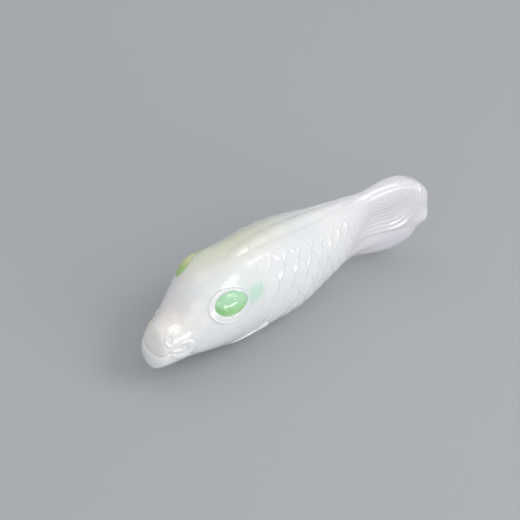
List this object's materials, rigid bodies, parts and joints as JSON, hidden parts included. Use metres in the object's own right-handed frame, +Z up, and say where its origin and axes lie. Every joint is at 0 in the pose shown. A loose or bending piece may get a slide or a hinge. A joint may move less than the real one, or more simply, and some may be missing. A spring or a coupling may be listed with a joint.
{
  "type": "jade fish figurine",
  "caption": "Small free-standing jade carving of a plump carp with bulging green eyes, low scales, rayed fins and a two-lobed tail, resting on its ground belly.",
  "frame": {"origin": "on the flat ground under the belly, below the middle of the fish's length", "axes": "+Z up, the nose points to -X and the tail to +X, the fish's own left side faces -Y"},
  "size_m": [0.07, 0.0168, 0.0221],
  "materials": {
    "white_jade": "polished",
    "green_jade": "polished"
  },
  "bodies": {
    "root": {"trunk": "white_jade", "head": "white_jade", "upper_lip": "white_jade", "lower_jaw": "white_jade", "left_eyelid": "white_jade", "right_eyelid": "white_jade", "left_nostril": "white_jade", "right_nostril": "white_jade", "left_barbel": "white_jade", "right_barbel": "white_jade", "left_gill_cover": "white_jade", "right_gill_cover": "white_jade", "dorsal_fin": "white_jade", "left_pectoral_fin": "white_jade", "right_pectoral_fin": "white_jade", "tail_fin_upper": "white_jade", "tail_fin_lower": "white_jade", "left_eye": "green_jade", "right_eye": "green_jade"}
  },
  "joints": []
}
